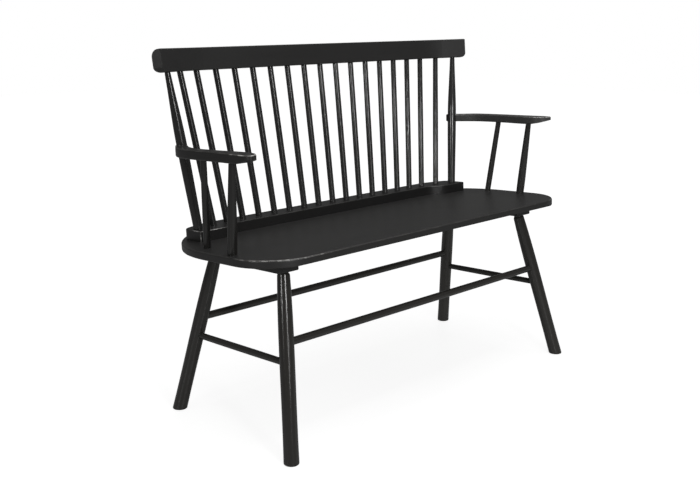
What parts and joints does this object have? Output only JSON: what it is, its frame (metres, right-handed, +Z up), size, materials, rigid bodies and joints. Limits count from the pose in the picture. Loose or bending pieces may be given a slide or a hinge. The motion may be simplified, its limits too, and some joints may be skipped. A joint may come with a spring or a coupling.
{
  "type": "deacons bench",
  "caption": "Long wooden bench with a sloping plank seat, a spindle back under a bent crest rail, and an open arm at each end.",
  "frame": {"origin": "on the floor, in the middle of the bench's width and depth", "axes": "+X along the bench to the right as seen from the front, +Y to the back, +Z up"},
  "size_m": [1.1, 0.4876, 0.8844],
  "materials": {
    "black_paint": "satin black paint over turned and sawn hardwood",
    "screw_steel": "plain zinc plated screws"
  },
  "bodies": {
    "root": {"arm_screws": "screw_steel", "back_spindle_01": "black_paint", "back_spindle_02": "black_paint", "back_spindle_03": "black_paint", "back_spindle_04": "black_paint", "back_spindle_05": "black_paint", "back_spindle_06": "black_paint", "back_spindle_07": "black_paint", "back_spindle_08": "black_paint", "back_spindle_09": "black_paint", "back_spindle_10": "black_paint", "back_spindle_11": "black_paint", "back_spindle_12": "black_paint", "back_spindle_13": "black_paint", "back_spindle_14": "black_paint", "back_spindle_15": "black_paint", "back_spindle_16": "black_paint", "back_spindle_17": "black_paint", "back_stretcher": "black_paint", "back_strip": "black_paint", "cleat_screws": "screw_steel", "crest_rail": "black_paint", "front_stretcher": "black_paint", "left_arm": "black_paint", "left_back_leg": "black_paint", "left_back_post": "black_paint", "left_cleat": "black_paint", "left_front_arm_post": "black_paint", "left_front_leg": "black_paint", "left_rear_arm_spindle": "black_paint", "left_stretcher": "black_paint", "right_arm": "black_paint", "right_back_leg": "black_paint", "right_back_post": "black_paint", "right_cleat": "black_paint", "right_front_arm_post": "black_paint", "right_front_leg": "black_paint", "right_rear_arm_spindle": "black_paint", "right_stretcher": "black_paint", "seat": "black_paint", "strip_screws": "screw_steel"}
  },
  "joints": []
}
